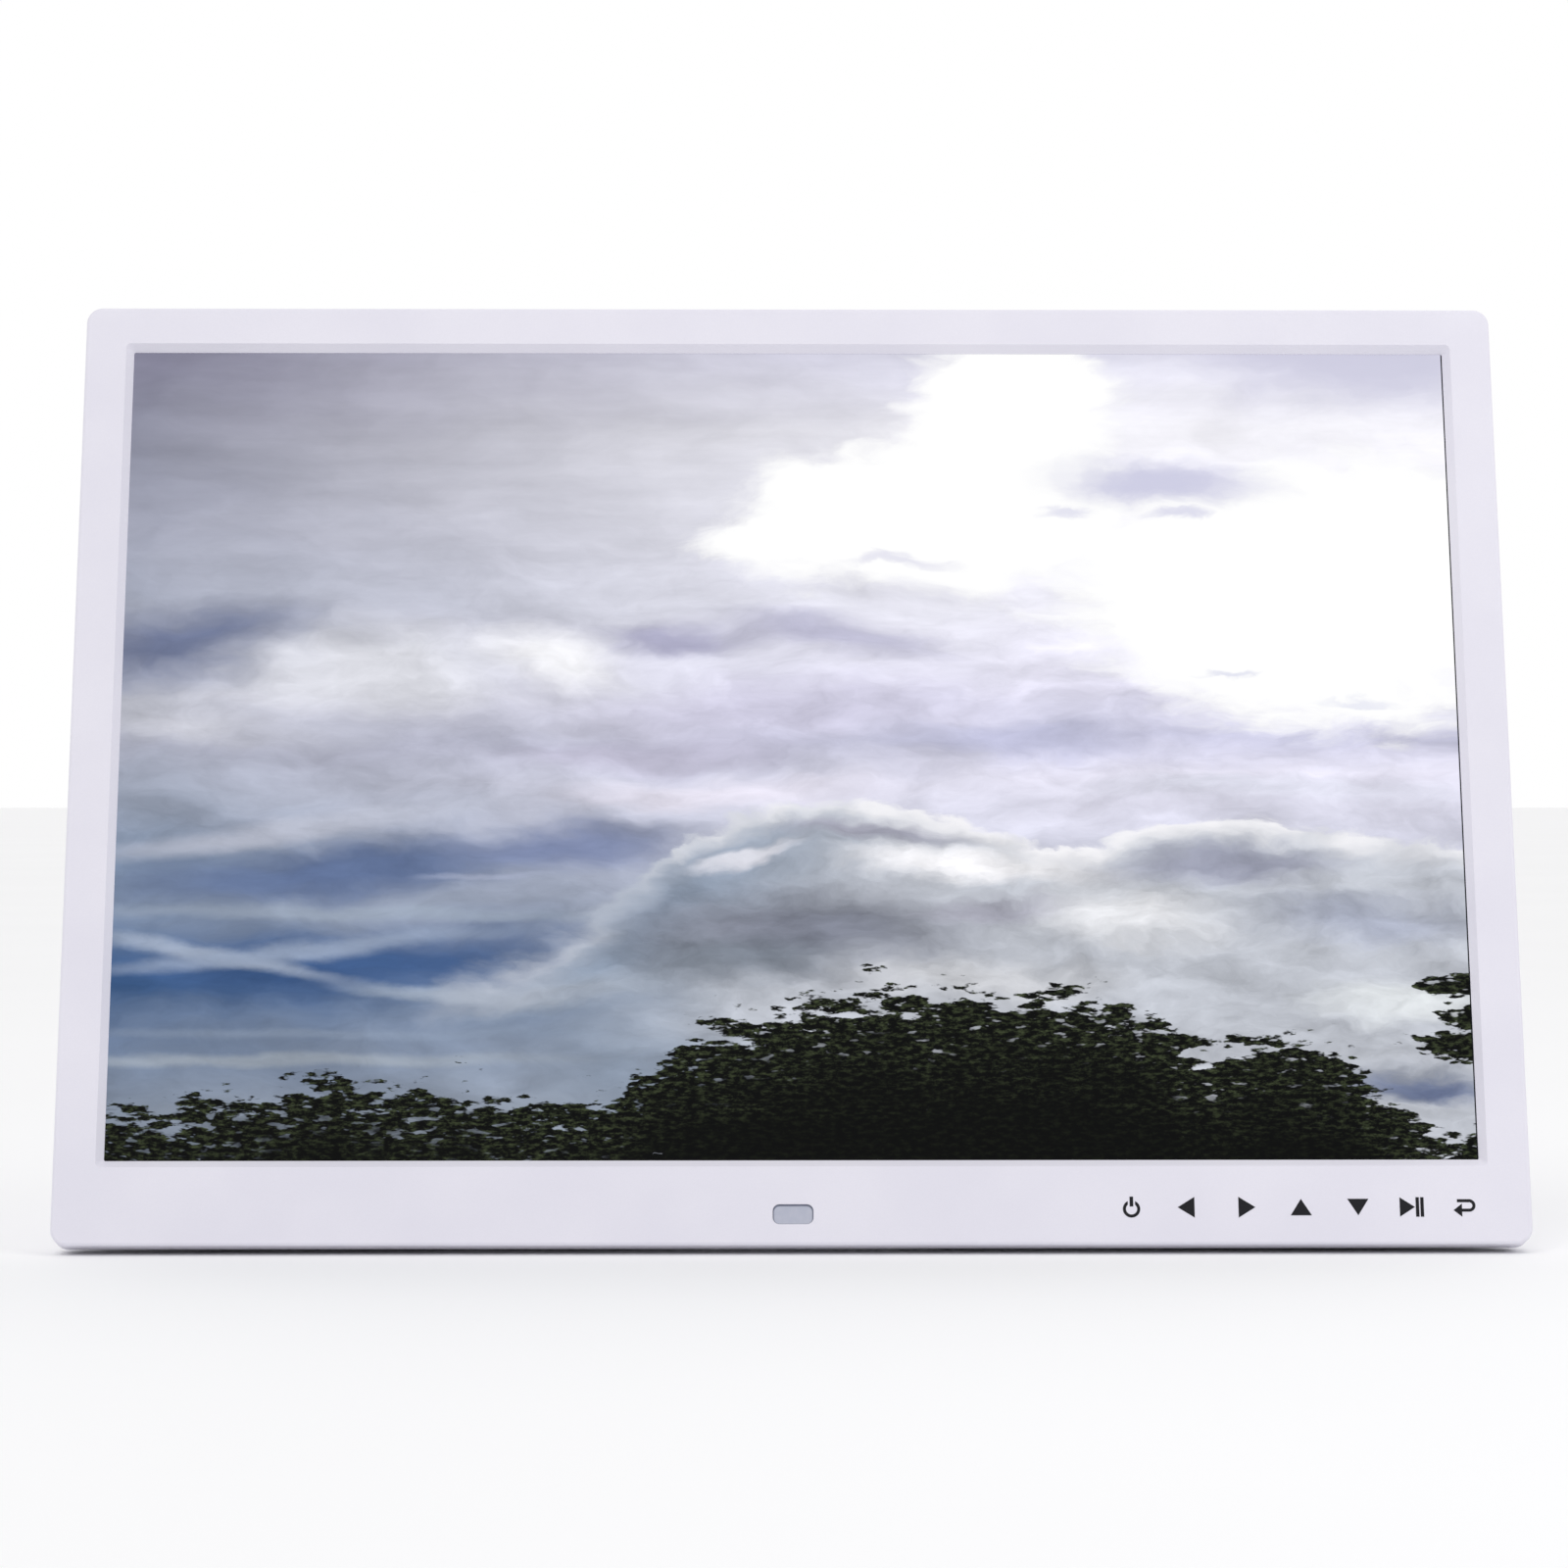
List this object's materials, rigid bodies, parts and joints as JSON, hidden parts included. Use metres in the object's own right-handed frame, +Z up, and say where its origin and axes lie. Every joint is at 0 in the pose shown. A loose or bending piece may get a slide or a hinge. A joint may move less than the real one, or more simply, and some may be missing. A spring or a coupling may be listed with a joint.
{
  "type": "digital photo frame",
  "caption": "Landscape digital photo frame with a wide LCD, touch marks on its white bezel, and a folding rear leg; stands leaning back on a table or hangs on a wall.",
  "frame": {"origin": "on the table, under the middle of the object's box, with the leg folded out", "axes": "+Z up, +X to the viewer's right along the frame's width, the screen faces -Y and leans back"},
  "size_m": [0.356, 0.0958, 0.2337],
  "materials": {
    "white_plastic": "satin moulded white ABS with a very fine grain",
    "ink": "flat black printed ink",
    "ir_lens": "translucent grey-blue, infrared-passing",
    "screen": "anti-glare film over a lit picture",
    "glass": "clear",
    "optical_film": "translucent film",
    "light_guide": "clear acrylic",
    "white_panel_plastic": "white",
    "sheet_steel": "zinc-plated",
    "steel": "nickel-plated",
    "black_screw": "black-oxide",
    "brass": "nickel-free brass",
    "aluminium": "mill",
    "circuit_board": "green solder mask",
    "flex_film": "amber polyimide",
    "chip": "moulded epoxy",
    "connector_plastic": "natural nylon",
    "black_plastic": "moulded black",
    "lead_cover": "PVC",
    "ribbon": "white polyester ribbon",
    "foam": "black foam",
    "rubber": "grey-black silicone rubber",
    "insulator": "black polyester sheet",
    "paper_cone": "pressed paper",
    "magnet": "ferrite"
  },
  "bodies": {
    "case": {"front_bezel": "white_plastic", "rear_cover": "white_plastic", "key_marks": "ink", "ir_window": "ir_lens", "ir_board": "circuit_board", "ir_receiver": "black_plastic", "ir_screws": "black_screw", "touch_board_tape": "foam", "touch_key_board": "circuit_board", "panel_gasket": "foam", "panel_metal_frame": "sheet_steel", "front_polariser": "screen", "colour_filter_glass": "glass", "transistor_glass": "glass", "rear_polariser": "optical_film", "diffuser_sheets": "optical_film", "prism_sheet": "optical_film", "light_guide": "light_guide", "reflector_sheet": "optical_film", "panel_middle_frame": "white_panel_plastic", "panel_back_plate": "aluminium", "led_strip": "circuit_board", "backlight_leds": "connector_plastic", "driver_board": "circuit_board", "driver_films": "flex_film", "chassis_plate": "sheet_steel", "standoffs": "brass", "insulating_sheet": "insulator", "main_board": "circuit_board", "processor": "chip", "small_chips": "chip", "power_coils": "chip", "board_connectors": "connector_plastic", "capacitors": "aluminium", "coin_cell": "steel", "coin_cell_holder": "black_plastic", "sd_socket": "steel", "usb_shells": "steel", "usb_inserts": "black_plastic", "earphone_socket": "black_plastic", "dc_socket": "black_plastic", "dc_socket_pin": "steel", "speaker_baskets": "sheet_steel", "speaker_magnets": "magnet", "speaker_cones": "paper_cone", "speaker_gaskets": "foam", "keyhole_plates": "sheet_steel", "case_screws": "black_screw", "inner_screws": "steel", "bottom_feet": "rubber", "hinge_pin": "steel", "pin_clips": "steel", "friction_washers": "steel", "lvds_cable": "ribbon", "touch_cable": "ribbon", "ir_lead": "lead_cover", "backlight_lead": "lead_cover", "speaker_leads": "lead_cover"},
    "stand": {"stand_leg": "white_plastic", "leg_tip_pad": "rubber"}
  },
  "joints": [
    {"name": "leg_hinge", "type": "hinge", "parent": "case", "child": "stand", "pos_m": [0, 0.01879, 0.16046], "axis": [1, 0, 0], "range_deg": [-24.6, 0]}
  ]
}
